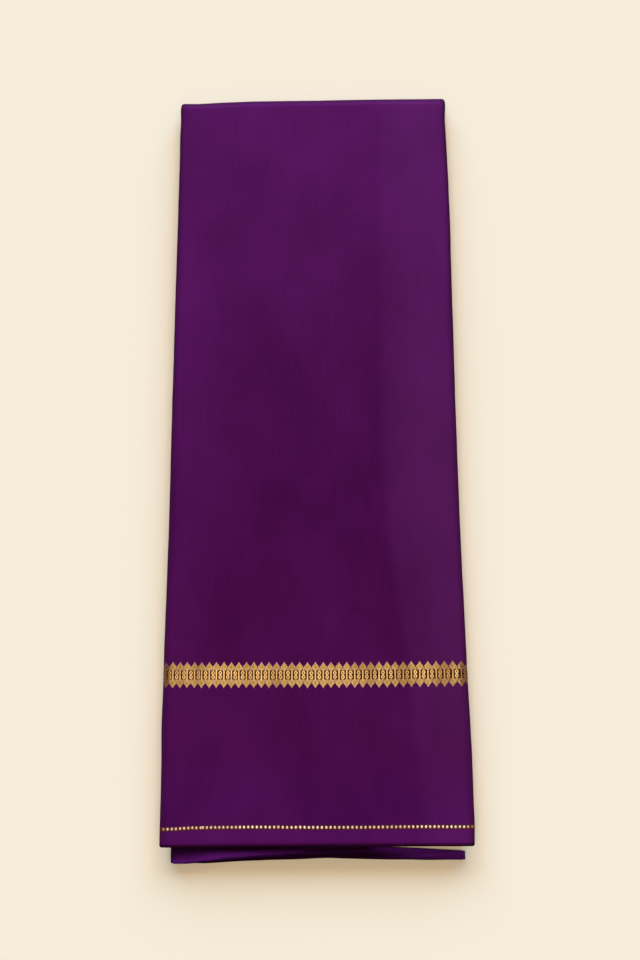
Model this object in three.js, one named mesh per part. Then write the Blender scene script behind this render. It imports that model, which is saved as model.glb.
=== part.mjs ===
// A silk saree folded for the shelf and laid flat, face up. Millimetres, +Z up.
// The cloth is pleated along its length into a long narrow pile, and the pile is folded once
// across its middle: the fold lies at +Y, the hems at -Y. The origin is under the pile's middle.
// Heights in the pile are measured outwards from its middle plane, so one section of the cloth
// serves along the upper half, round the fold and back along the lower half.

import * as THREE from 'three';

// The whole pile
const PILE_LENGTH = 587;
const PILE_HEIGHT = 16;
const CLOTH_WALL = 1.2;
const PLY_GAP = 0.3;
const HALF_HEIGHT = PILE_HEIGHT / 2;
const FAR_END = PILE_LENGTH / 2;
const NEAR_END = -PILE_LENGTH / 2;
const FOLD_AXIS = FAR_END - HALF_HEIGHT;

// The hems at the near end, and how far the folding is out of square
const FRONT_HEM = NEAR_END + 12.1;
const FRONT_HEM_SKEW = 0.0045;
const BACK_HEM = NEAR_END + 15.1;
const HEM_PLY_STEP = 0.8;
const FAR_EDGE_TILT = 3.2;

// The long sides: the outer ply turns over the pile's edge and its end is tucked back in
const TURN_REACH = { left: 3.8, right: 5.5 };
const TURN_DROP = 2.4;
const TUCK_REACH = 7;
const TUCK_DIP = 0.3;
const PANEL_TURN_STEPS = 6;
const PLY_TURN_STEPS = 4;

// The folds of the hidden plies show between the two turned edges as fine ridges
const SIDE_RIDGES = 3;
const RIDGE_CREST = 0.5;
const RIDGE_VALLEY = 1.3;
const MIDDLE_SLIT = 0.3;

// How finely the cloth is divided along and across
const UPPER_STEPS = 24;
const UPPER_STEP_GROWTH = 1.3;
const FOLD_STEPS = 8;
const LOWER_STEPS = 12;
const FACE_COLUMNS = 13;

// Plan outline of the upper half: half-widths of the pile at each measured cut
const OUTLINE = [
  { y: -281.5, left: 111.2, right: 111.2 },
  { y: -266.0, left: 111.4, right: 111.6 },
  { y: -207.5, left: 111.7, right: 110.7 },
  { y: -121.5, left: 111.0, right: 107.9 },
  { y: -32.5, left: 109.8, right: 105.7 },
  { y: 60.0, left: 109.6, right: 104.4 },
  { y: 156.0, left: 108.9, right: 103.6 },
  { y: 256.0, left: 108.3, right: 101.6 },
  { y: 275.0, left: 107.8, right: 100.9 },
  { y: 293.5, left: 108.3, right: 101.7 },
];

// The lower half lies further in than the upper one, by more towards the hem
const LOWER_INSET = [
  { y: -281.5, left: 6.4, right: 5.0 },
  { y: 285.5, left: 1.0, right: 1.0 },
];

// Broad soft folds of the upper face, each a low swell or sag along a line
const SOFT_FOLDS = [
  { name: 'swell along the right third', x1: 50, y1: 190, x2: 56, y2: -230, reach: 26, rise: 0.7 },
  { name: 'sag along the middle', x1: -24, y1: 150, x2: -14, y2: -130, reach: 38, rise: -0.5 },
  { name: 'sag near the right corner', x1: 30, y1: -205, x2: 74, y2: -250, reach: 16, rise: -0.7 },
  { name: 'swell over the lower plies', x1: -70, y1: -250, x2: 0, y2: -232, reach: 24, rise: 0.4 },
];

// The hems of the lower half that come out under the front hem on the left.
// near is how far their edge stays from the pile's near end.
const BACK_HEM_BOTTOM = 2.7;
const BACK_HEM_TOP = 7.7;
const BACK_HEM_FAR = BACK_HEM - 0.5;
const BACK_HEM_RIDGES = 3;
const BACK_HEM_RIDGE_DEPTH = 0.6;
const BACK_HEM_EDGE = [
  { x: -104.2, near: 0.6 },
  { x: -90, near: 1.8 },
  { x: -65, near: 4.8 },
  { x: -30, near: 7.3 },
  { x: -12, near: 8.7 },
  { x: 15, near: 10.6 },
  { x: 34, near: 12.2 },
];

// The turned selvedge that lies lowest. On the right it springs clear of the pile,
// so that the surface shows in a narrow wedge between it and the front hem.
const UNDER_HEM_HEIGHT = 2.4;
const UNDER_HEM_EDGE = [
  { x: -104.4, near: 0.0 },
  { x: -92, near: 0.0 },
  { x: -80, near: 0.5 },
  { x: -48, near: 2.3 },
  { x: 9, near: 4.1 },
  { x: 31, near: 3.5 },
  { x: 79, near: 2.8 },
  { x: 105.8, near: 3.1 },
];
const SPRING_START = { x: 18, y: BACK_HEM - 0.4 };
const SPRING_SLOPE = -0.07;
const HEM_CORNER = 1.4;
const HEM_STEPS = 18;

const { lerp, smoothstep } = THREE.MathUtils;

// Straight-line value of one column of a table, its rows in rising order of key
function tableValue(rows, key, column, at) {
  const last = rows.length - 1;
  if (at <= rows[0][key]) return rows[0][column];
  if (at >= rows[last][key]) return rows[last][column];
  const next = rows.findIndex((row) => row[key] >= at);
  const before = rows[next - 1];
  const after = rows[next];
  const share = (at - before[key]) / (after[key] - before[key]);
  return lerp(before[column], after[column], share);
}

// Height that the broad soft folds add to the upper face at one place
function softFoldRise(x, y) {
  let rise = 0;
  for (const fold of SOFT_FOLDS) {
    const alongX = fold.x2 - fold.x1;
    const alongY = fold.y2 - fold.y1;
    const share = ((x - fold.x1) * alongX + (y - fold.y1) * alongY) / (alongX ** 2 + alongY ** 2);
    const held = THREE.MathUtils.clamp(share, 0, 1);
    const offX = x - fold.x1 - held * alongX;
    const offY = y - fold.y1 - held * alongY;
    rise += fold.rise * Math.exp(-(offX ** 2 + offY ** 2) / fold.reach ** 2);
  }
  return rise;
}

// Moves a point of the square, flat pile to where the cloth really lies
function settle(x, y, z) {
  const upper = smoothstep(z, HALF_HEIGHT, HALF_HEIGHT + 3);
  const byLeft = 1 - smoothstep(x, -110, 40);
  const byFarEnd = smoothstep(y, 150, FAR_END);
  const byNearEnd = 1 - smoothstep(y, FRONT_HEM, -200);
  const offSides = smoothstep(x, -112, -90) * (1 - smoothstep(x, 90, 112));
  const skewedY = y - FAR_EDGE_TILT * byLeft * byFarEnd + FRONT_HEM_SKEW * x * byNearEnd * upper;
  const lift = softFoldRise(x, y) * upper * offSides * (1 - smoothstep(y, 210, 270));
  return new THREE.Vector3(x, skewedY, z + lift);
}

// Half-widths of the pile at a cut, going from the upper half's to the lower half's at the fold
function widthsAt(y, turn) {
  const widths = {};
  for (const side of ['left', 'right']) {
    const inset = tableValue(LOWER_INSET, 'y', side, y);
    widths[side] = tableValue(OUTLINE, 'y', side, y) - inset * smoothstep(turn, 0, Math.PI);
  }
  return widths;
}

// A station is one cut across the cloth's path: y on the middle plane, and the turn of the path
function station(y, turn) {
  return { y, turn, widths: widthsAt(y, turn) };
}

function upperStations() {
  const stations = [];
  for (let step = 0; step <= UPPER_STEPS; step += 1) {
    const share = (step / UPPER_STEPS) ** UPPER_STEP_GROWTH;
    stations.push(station(lerp(FRONT_HEM, FOLD_AXIS, share), 0));
  }
  return stations;
}

function foldStations() {
  const stations = [];
  for (let step = 1; step <= FOLD_STEPS; step += 1) {
    stations.push(station(FOLD_AXIS, (Math.PI * step) / FOLD_STEPS));
  }
  return stations;
}

function lowerStations(startY) {
  const stations = [];
  for (let step = 0; step <= LOWER_STEPS; step += 1) {
    stations.push(station(lerp(startY, BACK_HEM, step / LOWER_STEPS), Math.PI));
  }
  return stations;
}

// Point of the cloth at a station; hemStep holds a ply's own hem back from the outer one
function clothPoint(at, x, height, hemStep = 0) {
  const y = at.y + hemStep + height * Math.sin(at.turn);
  const z = HALF_HEIGHT + height * Math.cos(at.turn);
  return settle(x, y, z);
}

// One long side in section, from the tucked end round the turn to the face. Each point has its
// inset from the widest line and its height; depth is how far inside the outer skin it runs.
function turnedEdge(reach, depth, steps) {
  const low = HALF_HEIGHT - 2 * TURN_DROP + depth;
  const points = [{ inset: TUCK_REACH, height: low - TUCK_DIP }];
  for (let step = 0; step <= steps; step += 1) {
    const angle = Math.PI * (step / steps - 0.5);
    const across = angle < 0 ? TURN_DROP : reach;
    points.push({
      inset: across - (across - depth) * Math.cos(angle),
      height: HALF_HEIGHT - TURN_DROP + (TURN_DROP - depth) * Math.sin(angle),
    });
  }
  return points;
}

// The outer ply in section from the left tuck to the right one, at one depth in its wall
function plySkin(at, depth, columns) {
  const left = turnedEdge(TURN_REACH.left, depth, PANEL_TURN_STEPS);
  const right = turnedEdge(TURN_REACH.right, depth, PANEL_TURN_STEPS).reverse();
  const fromX = TURN_REACH.left - at.widths.left;
  const toX = at.widths.right - TURN_REACH.right;
  const skin = left.map((point) => clothPoint(at, point.inset - at.widths.left, point.height));
  for (let column = 1; column <= columns; column += 1) {
    const x = lerp(fromX, toX, column / (columns + 1));
    skin.push(clothPoint(at, x, HALF_HEIGHT - depth));
  }
  skin.push(...right.map((point) => clothPoint(at, at.widths.right - point.inset, point.height)));
  return skin;
}

function panelRing(at, columns) {
  return [...plySkin(at, 0, columns), ...plySkin(at, CLOTH_WALL, columns).reverse()];
}

// One long side of the hidden plies, from the face down to the slit between the halves:
// inside the turned edge, round its tucked end, then out again to the ridges
function plySide(reach) {
  const turn = turnedEdge(reach, CLOTH_WALL + PLY_GAP, PLY_TURN_STEPS).reverse();
  const roof = turn.pop();
  const underTuck = HALF_HEIGHT - 2 * TURN_DROP - PLY_GAP;
  const rows = [
    ...turn,
    { inset: roof.inset + PLY_GAP, height: roof.height },
    { inset: roof.inset + PLY_GAP, height: underTuck - TUCK_DIP },
  ];
  const ridgePoints = 2 * SIDE_RIDGES;
  for (let point = 0; point <= ridgePoints; point += 1) {
    rows.push({
      inset: point % 2 === 0 ? RIDGE_VALLEY : RIDGE_CREST,
      height: lerp(underTuck, MIDDLE_SLIT / 2, point / ridgePoints),
    });
  }
  return rows;
}

// The hidden plies in section: left side down, right side up, then the face from right to left.
// Every other row of the hem end is held back, which gives the ends of the plies their steps.
function pliesRing(at, hemSign) {
  const rows = { left: plySide(TURN_REACH.left), right: plySide(TURN_REACH.right) };
  const held = (row) => hemSign * HEM_PLY_STEP * (1 + (row % 2));
  const left = rows.left.map((point, row) =>
    clothPoint(at, point.inset - at.widths.left, point.height, held(row)));
  const right = rows.right.map((point, row) =>
    clothPoint(at, at.widths.right - point.inset, point.height, held(row)));
  const face = [];
  for (let column = 1; column <= FACE_COLUMNS; column += 1) {
    const share = column / (FACE_COLUMNS + 1);
    const x = lerp(rows.left[0].inset - at.widths.left, at.widths.right - rows.right[0].inset, share);
    face.push(clothPoint(at, x, rows.left[0].height, held(0)));
  }
  return [...left, ...right.reverse(), ...face.reverse()];
}

// Closes a wall's ring: its outer skin is zipped to its inner one
function zipCap(count) {
  const faces = [];
  for (let i = 0; i < count / 2 - 1; i += 1) {
    faces.push([i, i + 1, count - 2 - i], [i, count - 2 - i, count - 1 - i]);
  }
  return faces;
}

// Closes the hidden plies' ring: a fan along the face, then rows from side to side
function pliesCap(count) {
  const sideRows = (count - FACE_COLUMNS) / 2;
  const faces = [[1, count - 1, 0]];
  for (let i = 2 * sideRows - 2; i < count - 1; i += 1) faces.push([1, i, i + 1]);
  for (let i = 1; i < sideRows - 1; i += 1) {
    const across = 2 * sideRows - 1 - i;
    faces.push([i, i + 1, across - 1], [i, across - 1, across]);
  }
  return faces;
}

// Closes a ring whose first point sees all the others
function fanCap(count) {
  const faces = [];
  for (let i = 1; i < count - 1; i += 1) faces.push([0, i, i + 1]);
  return faces;
}

function signedVolume(points, faces) {
  let sum = 0;
  for (const [a, b, c] of faces) sum += points[a].dot(points[b].clone().cross(points[c]));
  return sum / 6;
}

// Joins rings of equal length into one closed skin whose faces point out
function loft(rings, capFaces) {
  const count = rings[0].length;
  const points = rings.flat();
  const faces = [];
  for (let ring = 0; ring < rings.length - 1; ring += 1) {
    for (let i = 0; i < count; i += 1) {
      const a = ring * count + i;
      const b = ring * count + ((i + 1) % count);
      faces.push([a, b, b + count], [a, b + count, a + count]);
    }
  }
  const lastRing = (rings.length - 1) * count;
  for (const [a, b, c] of capFaces) {
    faces.push([c, b, a], [a + lastRing, b + lastRing, c + lastRing]);
  }
  const outward = signedVolume(points, faces) > 0 ? faces : faces.map(([a, b, c]) => [c, b, a]);
  const geometry = new THREE.BufferGeometry().setFromPoints(points);
  geometry.setIndex(outward.flat());
  geometry.computeVertexNormals();
  return geometry;
}

// Places along a strip, with a few close together at each end where its corner is rounded
function stripPlaces(from, to) {
  const places = [from, from + HEM_CORNER / 3];
  for (let step = 0; step <= HEM_STEPS; step += 1) {
    places.push(lerp(from + HEM_CORNER, to - HEM_CORNER, step / HEM_STEPS));
  }
  places.push(to - HEM_CORNER / 3, to);
  return places;
}

// How far a rounded corner draws the edge back, near either end of a strip
function cornerSetback(x, from, to) {
  const short = Math.max(0, HEM_CORNER - Math.min(x - from, to - x));
  return HEM_CORNER - Math.sqrt(HEM_CORNER ** 2 - 0.9 * short ** 2);
}

function backHemRing(x, from, to) {
  const near = NEAR_END + tableValue(BACK_HEM_EDGE, 'x', 'near', x) + cornerSetback(x, from, to);
  const middle = (BACK_HEM_TOP + BACK_HEM_BOTTOM) / 2;
  const ring = [
    new THREE.Vector3(x, BACK_HEM_FAR, middle),
    new THREE.Vector3(x, BACK_HEM_FAR, BACK_HEM_TOP),
  ];
  for (let point = 0; point <= 2 * BACK_HEM_RIDGES; point += 1) {
    const y = near + (point % 2 === 0 ? BACK_HEM_RIDGE_DEPTH : 0);
    ring.push(new THREE.Vector3(x, y, lerp(BACK_HEM_TOP, BACK_HEM_BOTTOM, point / (2 * BACK_HEM_RIDGES))));
  }
  ring.push(new THREE.Vector3(x, BACK_HEM_FAR, BACK_HEM_BOTTOM));
  return ring;
}

// Far edge of the lowest selvedge: against the pile, then away from it where it springs clear
function underHemFar(x) {
  return SPRING_START.y + SPRING_SLOPE * Math.max(0, x - SPRING_START.x);
}

function underHemRing(x, from, to) {
  const corner = cornerSetback(x, from, to);
  const near = NEAR_END + tableValue(UNDER_HEM_EDGE, 'x', 'near', x) + corner;
  const far = underHemFar(x) - corner;
  const top = UNDER_HEM_HEIGHT;
  return [
    new THREE.Vector3(x, far, 0),
    new THREE.Vector3(x, far, 0.6 * top),
    new THREE.Vector3(x, far - 0.4 * top, top),
    new THREE.Vector3(x, (far + near) / 2, top),
    new THREE.Vector3(x, near + 0.4 * top, top),
    new THREE.Vector3(x, near + 0.1 * top, 0.75 * top),
    new THREE.Vector3(x, near, 0.35 * top),
    new THREE.Vector3(x, near + 0.1 * top, 0),
  ];
}

function hemStrip(edge, ringAt) {
  const from = edge[0].x;
  const to = edge[edge.length - 1].x;
  const rings = stripPlaces(from, to).map((x) => ringAt(x, from, to));
  return loft(rings, fanCap(rings[0].length));
}

function frontPanel() {
  const rings = [...upperStations(), ...foldStations()].map((at) => panelRing(at, FACE_COLUMNS));
  return loft(rings, zipCap(rings[0].length));
}

function underPanel() {
  const rings = lowerStations(FOLD_AXIS - PLY_GAP).map((at) => panelRing(at, 1));
  return loft(rings, zipCap(rings[0].length));
}

function foldedPlies() {
  const upper = upperStations();
  const fold = foldStations();
  const lower = lowerStations(FOLD_AXIS).slice(1);
  const hemRing = pliesRing(upper.shift(), 1);
  const backHemEnd = pliesRing(lower.pop(), 1);
  const between = [...upper, ...fold, ...lower].map((at) => pliesRing(at, 0));
  return loft([hemRing, ...between, backHemEnd], pliesCap(hemRing.length));
}

// Purple mulberry silk; the inner plies lie in shade and look darker
const faceSilk = new THREE.MeshStandardMaterial({ color: 0x5a1866, roughness: 0.42, metalness: 0 });
const innerSilk = new THREE.MeshStandardMaterial({ color: 0x3c0a42, roughness: 0.5, metalness: 0 });
const hemSilk = new THREE.MeshStandardMaterial({ color: 0x4a1052, roughness: 0.46, metalness: 0 });

function piece(name, geometry, material) {
  const mesh = new THREE.Mesh(geometry, material);
  mesh.name = name;
  return mesh;
}

const saree = new THREE.Group();
saree.add(piece('front_panel', frontPanel(), faceSilk));
saree.add(piece('under_panel', underPanel(), faceSilk));
saree.add(piece('folded_plies', foldedPlies(), innerSilk));
saree.add(piece('back_hem', hemStrip(BACK_HEM_EDGE, backHemRing), hemSilk));
saree.add(piece('under_hem', hemStrip(UNDER_HEM_EDGE, underHemRing), hemSilk));

export default saree;
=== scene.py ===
"""Folded silk saree, laid flat on a pale floor: its looks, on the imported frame.

Shapes are worked out in millimetres, on the same sections as the part's source, and become metres
when a mesh is made. A place on the outer ply is known by two numbers: across, measured round the
cloth from the middle of the face, and y, along the pile. Heights are measured outwards from the
middle plane between the two halves, so one section serves both halves and the fold.
"""

import math

import bmesh
import bpy
import numpy as np
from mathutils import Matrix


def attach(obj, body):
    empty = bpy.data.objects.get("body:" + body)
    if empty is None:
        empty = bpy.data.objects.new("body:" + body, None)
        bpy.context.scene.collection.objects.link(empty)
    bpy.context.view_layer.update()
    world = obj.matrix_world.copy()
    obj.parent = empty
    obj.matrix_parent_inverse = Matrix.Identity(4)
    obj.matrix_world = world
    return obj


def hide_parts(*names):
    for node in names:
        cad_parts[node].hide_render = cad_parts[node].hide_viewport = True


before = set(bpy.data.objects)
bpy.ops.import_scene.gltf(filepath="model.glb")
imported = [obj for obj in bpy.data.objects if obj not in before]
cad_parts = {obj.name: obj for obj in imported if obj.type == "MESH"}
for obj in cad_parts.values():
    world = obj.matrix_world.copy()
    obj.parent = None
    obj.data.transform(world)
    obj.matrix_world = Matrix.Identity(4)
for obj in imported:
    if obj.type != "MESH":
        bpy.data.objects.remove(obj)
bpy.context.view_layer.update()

MM = 0.001

# ------------------------------------------------------------------ sizes of the folded pile
HALF = 8.0                    # height of one half of the pile
FAR_END = 293.5
NEAR_END = -293.5
FOLD_AXIS = FAR_END - HALF
FRONT_HEM = -281.4
BACK_HEM = -278.4
FAR_EDGE_TILT = 3.2

# Half-widths of the upper half at each cut, and how much narrower the lower half is
OUTLINE_Y = (-281.5, -267, -250, -232, -215, -197, -179, -161, -143, -125, -88, -51, -13,
             45, 104, 145, 186, 228, 248, 262, 268, 275, 282, 293.5)
OUTLINE = {
    "left": (111.2, 111.4, 111.2, 111.3, 111.5, 111.9, 111.5, 111.2, 111.3, 111.0, 110.4, 109.9,
             109.8, 109.6, 109.2, 109.0, 108.6, 108.3, 108.2, 108.4, 108.4, 107.8, 108.3, 108.4),
    "right": (111.3, 111.7, 111.4, 111.2, 110.9, 110.3, 109.6, 108.9, 108.5, 108.0, 106.9, 106.0,
              105.3, 104.5, 104.0, 103.6, 103.4, 102.6, 102.0, 101.5, 101.1, 100.9, 101.4, 101.8),
}
# How far the fold at the far end reaches past its mean line, from left to right
FAR_X = (-108, -96, -76, -52, -28, 0, 30, 62, 86, 102)
FAR_OUT = (0.0, -0.3, 0.6, 1.0, 0.6, 0.1, 0.3, 0.7, 0.9, 1.1)
LOWER_INSET = {"left": (6.4, 1.0), "right": (5.0, 1.0)}

# The turned long sides of the outer ply
REACH = {"left": 5.6, "right": 6.0}
DROP_OUT = 3.1                # from the face down to the widest line
DROP_BACK = 1.7               # from the widest line down to the tucked end
BACK_REACH = 2.4
TUCK_REACH = 7.0
TUCK_DIP = 0.3
TURN_STEPS = 12
TURN_POWER = 2 / 1.7          # rounder than a chamfer, flatter than an ellipse
PLY = 0.3                     # thickness of the outer ply

# Where the front hem really runs, from left to right, and how it bends down at its edge
HEM_X = (-111, -60, 0, 60, 111)
HEM_Y = (-281.85, -281.45, -281.15, -280.95, -280.85)
NOSE_LENGTH = (1.8, 2.2, 2.8, 2.9, 2.4)
NOSE_DROP = 1.5
CORNER = 1.6

# Pleats: each hidden loop is two plies thick
LOOP = 0.52
LOOPS_AT_SIDE = 5
CORE_TOP = HALF - PLY - 0.25
CORE_FACE_COLUMNS = 42
# One loop's edge in section: share of its height, and depth behind its outermost line
LOOP_SECTION = ((0.02, 2.2), (0.10, 0.75), (0.24, 0.2), (0.5, 0.0), (0.76, 0.2), (0.90, 0.75))

# Cuts along the cloth's path: the first ones lie at these distances from the front hem
HEM_CUTS = (0, 0.35, 0.7, 1.1, 1.5, 1.9, 2.4, 3.0, 3.8, 5.0)
UPPER_CUTS_FROM = 7.5
UPPER_CUTS, FOLD_CUTS, LOWER_CUTS = 190, 24, 60
FACE_COLUMNS = 84

# Broad soft folds of the face: two ends, reach, rise
SOFT_FOLDS = (
    ((50, 190), (56, -230), 26, 0.45),
    ((-24, 150), (-14, -130), 38, -0.5),
    ((30, -205), (74, -250), 16, -0.7),
    ((-70, -250), (0, -232), 24, 0.2),
)
# Finer creases of the face
CREASE_SWAY = 1.6
CREASES = (
    ((-88.5, -103), (-81.2, -149), 3.4, -0.16),
    ((-84.5, -103), (-77.5, -146), 3.0, 0.07),
    ((8, -184), (35, -213), 9, -0.14),
    ((35, -213), (83, -257), 7, -0.22),
    ((30, -220), (76, -263), 8, 0.15),
    ((-8, -228), (18, -231), 15, 0.24),
    ((51.5, 240), (49.5, 20), 2.2, -0.10),
    ((49.5, 20), (57.6, -262), 2.4, -0.09),
    ((-97, 230), (-100, -60), 4.0, 0.10),
    ((-92, 150), (-95, -40), 3.0, -0.07),
    ((-62, 205), (-20, 236), 11, -0.12),
    ((18, 262), (66, 248), 9, 0.10),
    ((-70, 30), (-34, 12), 14, 0.09),
    ((4, 88), (38, 70), 12, -0.08),
    ((-58, -198), (-22, -190), 10, -0.10),
    ((66, -60), (88, -88), 8, -0.09),
    ((-101, -255), (-72, -262), 7, 0.16),
    ((70, -270), (104, -262), 6, 0.14),
)

# The temple band: tooth i stands at BAND_START + BAND_STEP i + BAND_GROWTH i^2
BAND_START = -1.29
BAND_STEP = 5.644
BAND_GROWTH = 0.01195
BAND_FIRST = -21
BAND_COUNT = 41
BAND_X = (-111, -60, 0, 30, 60, 111)
BAND_Y = (-161.35, -161.3, -161.3, -161.15, -160.8, -160.2)
BAND_SWAY, BAND_SEED = 0.10, 4
TOOTH_TIP = 9.4
TOOTH_WIDEST = 5.7
TOOTH_BASE = 3.5
CHAIN_HALF = 3.05
RAIL_OUT = 5.4
WOVEN_LOW = -0.03             # woven relief starts just under the silk
STRIP_HALF_LENGTH = 113.5
STRIP_COLUMNS = 380

# The dot line near the hem, with one dot too many near the left
DOT_STEP = 3.0
DOT_COUNT = 74
DOT_SWAY, DOT_SEED = (0.07, 0.06, 0.0), 9
DOT_SIZE = (0.93, 1.07)
DOT_SIDES = 8
DOT_RINGS = ((1.0, WOVEN_LOW), (0.92, 0.10), (0.55, 0.17))
DOT_TOP = 0.19
DOT_GROUND_HALF = 1.5
DOT_NUMBER = (0, 8, 9, 10, 11, 21, 27, 46, 56, 73)
DOT_PLACE = (-108.2, -85.0, -82.1, -80.4, -77.7, -48.5, -30.3, 28.0, 58.9, 109.8)
DOT_X = (-111, -100, -88, -70, -46, -2, 34, 66, 111)
DOT_Y = (-269.4, -269.0, -268.3, -268.0, -267.7, -268.0, -267.9, -267.5, -267.5)

# The hems of the lower half that come out on the left: x, then distance from the near end.
# The selvedge that lies lowest springs away on the right, past SPRING_X.
BACK_EDGE_X = (-104.2, -90, -65, -30, -12, 15, 34, 46, 60)
BACK_EDGE = (0.3, 1.3, 4.2, 6.7, 8.1, 10.1, 12.2, 14.2, 14.8)
BACK_BOTTOM = 2.7
BACK_LEFT = -103.5
UNDER_EDGE_X = (-104.4, -92, -80, -48, 9, 31, 79, 105.8)
UNDER_EDGE = (0.0, 0.0, 0.0, 1.7, 3.6, 2.9, 2.2, 2.5)
UNDER_LEFT, UNDER_RIGHT = -103.7, 105.8
UNDER_PITCH = 0.54
SPRING_X, SPRING_Y, SPRING_SLOPE = -5, -278.8, -0.0530

# Stacks of hems: how many plies show, and how they are divided
FRONT_HEM_PLIES, BACK_HEM_PLIES, UNDER_HEM_PLIES = 14, 10, 4
PLY_SEGMENTS = 88
PLY_SEED = 3
# One ply in section: depth from 0 to 1, and height as a share of its thickness
PLY_EDGE = ((1, -0.5), (0.3, -0.5), (0.02, -0.5), (0, -0.28), (0, 0.28), (0.02, 0.5), (0.1, 0.5),
            (0.18, 0.5), (0.27, 0.5), (0.36, 0.5), (0.46, 0.5), (0.58, 0.5), (0.75, 0.5), (1, 0.5))

# Camera, in metres and degrees above the floor, and soft suns:
# power, width of the disc, colour, tilt towards the far end, turn about the vertical
CAMERA_PLACE = (0.0021, -0.2229, 0.9872)
CAMERA_ELEVATION = 78.05
LENS, SENSOR = 50, 36
SUNS = {
    "warm_top": (1.401, 0.8, (1.0, 0.763, 0.488), 15, 0),
    "warm_back": (1.225, 0.6, (1.0, 0.506, 0.0), -56, 0),
    "cool_back": (0.854, 0.6, (0.386, 0.550, 1.0), -66, 0),
    "cool_back_left": (2.114, 0.6, (0.337, 0.667, 1.0), -66, 24),
    "cool_back_right": (2.114, 0.6, (0.337, 0.667, 1.0), -66, -24),
}
SKY_COLOUR, SKY_STRENGTH = (0.989, 1.0, 1.0, 1), 0.177
FLOOR_REACH, FLOOR_LEVEL = 3000, -0.02

SHARP_ANGLE = math.radians(50)


# ------------------------------------------------------------------ shape of the cloth
def smooth(value, low, high):
    share = np.clip((value - low) / (high - low), 0, 1)
    return share * share * (3 - 2 * share)


def sway(at, *waves):
    """A slow uneven wave, from -1 to 1: each wave is (length, phase)."""
    return sum(np.sin(2 * np.pi * at / length + phase) for length, phase in waves) / len(waves)


def along(x, y, start, end):
    """Squared distance of each place from a line on the face."""
    step = (end[0] - start[0], end[1] - start[1])
    share = ((x - start[0]) * step[0] + (y - start[1]) * step[1]) / (step[0] ** 2 + step[1] ** 2)
    share = np.clip(share, 0, 1)
    return (x - start[0] - share * step[0]) ** 2 + (y - start[1] - share * step[1]) ** 2


def face_rise(x, y):
    """How far the face lies over or under its plane."""
    rise = np.zeros(np.broadcast(x, y).shape)
    for start, end, reach, height in SOFT_FOLDS:
        rise = rise + height * np.exp(-along(x, y, start, end) / reach ** 2)
    for start, end, reach, height in CREASES:
        bend = CREASE_SWAY * sway(x + y, (37, 0.4), (61, 2.0))
        rise = rise + height * np.exp(-along(x + bend, y, start, end) / reach ** 2)
    rise = rise + 0.05 * sway(y + 0.35 * x, (83, 1.1), (57, 0.3), (29, 2.2))
    rise = rise + 0.04 * sway(x - 0.2 * y, (71, 0.2), (43, 1.7))
    return rise * smooth(x, -112, -92) * (1 - smooth(x, 92, 112)) * (1 - smooth(y, 225, 280))


def hem_swell(y):
    """The hem end stands a little fuller than the middle of the pile."""
    return 0.55 * (1 - smooth(y, FRONT_HEM, -226))


def half_width(side, y, turn):
    spread = [np.interp(y + off, OUTLINE_Y, OUTLINE[side]) for off in (-4, -2, 0, 2, 4)]
    inset = np.interp(y, (OUTLINE_Y[0], FOLD_AXIS), LOWER_INSET[side])
    phase = 0.0 if side == "left" else 1.9
    width = sum(spread) / len(spread) - inset * smooth(turn, 0, math.pi)
    return width + 0.08 * sway(y, (97, phase), (41, 2 * phase + 1), (23, phase + 2))


def round_corner(width, to_end):
    """Draws a width in over the last stretch before an end."""
    short = np.clip(CORNER - to_end, 0, CORNER)
    return width - (CORNER - np.sqrt(CORNER ** 2 - 0.92 * short ** 2))


def side_width(side, y, turn):
    width = half_width(side, y, turn)
    width = round_corner(width, np.where(turn < 1, y - FRONT_HEM, 9))
    return width - 0.35 * np.sin(turn) ** 4


def turn_profile(reach):
    """One turned side in section: distance round it, inset from the widest line, height."""
    rows = []
    for step in range(TURN_STEPS + 1):
        angle = 0.5 * math.pi * step / TURN_STEPS
        out = reach * math.sin(angle) ** TURN_POWER
        up = DROP_OUT * max(0.0, math.cos(angle)) ** TURN_POWER
        rows.append((reach - out, HALF - DROP_OUT + up))
    for step in range(1, TURN_STEPS // 2 + 1):
        angle = math.pi * step / TURN_STEPS
        rows.append((BACK_REACH * (1 - math.cos(angle)),
                     HALF - DROP_OUT - DROP_BACK * math.sin(angle)))
    rows.append((TUCK_REACH, HALF - DROP_OUT - DROP_BACK - TUCK_DIP))
    rows = np.array(rows)
    steps = np.hypot(*np.diff(rows, axis=0).T)
    return np.concatenate(([0], np.cumsum(steps))), rows[:, 0], rows[:, 1]


PROFILE = {side: turn_profile(reach) for side, reach in REACH.items()}


def reach_share(side, y):
    """The turn is wider at some places than at others."""
    phase = 0.7 if side == "left" else 2.4
    return 1 + 0.10 * sway(y, (133, phase), (67, phase + 1), (39, 2 * phase))


def turn_size(turn):
    """The turned sides are slighter round the fold at the far end."""
    return 1 - 0.75 * np.sin(turn) ** 2


def face_edge(side, y, turn):
    return side_width(side, y, turn) - REACH[side] * reach_share(side, y) * turn_size(turn)


def section(across, y, turn):
    """x and height of places across the cloth."""
    x, height = across, np.full(np.broadcast(across, y).shape, HALF)
    for side, sign in (("left", -1), ("right", 1)):
        distance, inset, level = PROFILE[side]
        past = sign * across - face_edge(side, y, turn)
        on_turn = past > 0
        size = turn_size(turn)
        inwards = reach_share(side, y) * size * np.interp(past, distance, inset)
        out = side_width(side, y, turn) - inwards
        x = np.where(on_turn, sign * out, x)
        height = np.where(on_turn, HALF - size * (HALF - np.interp(past, distance, level)), height)
    return x, height


def past_edge(across, y, turn=0.0):
    """How far round a turned side a place lies, and nothing on the face."""
    left = -across - face_edge("left", y, turn)
    right = across - face_edge("right", y, turn)
    return np.maximum(np.maximum(left, right), 0)


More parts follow.
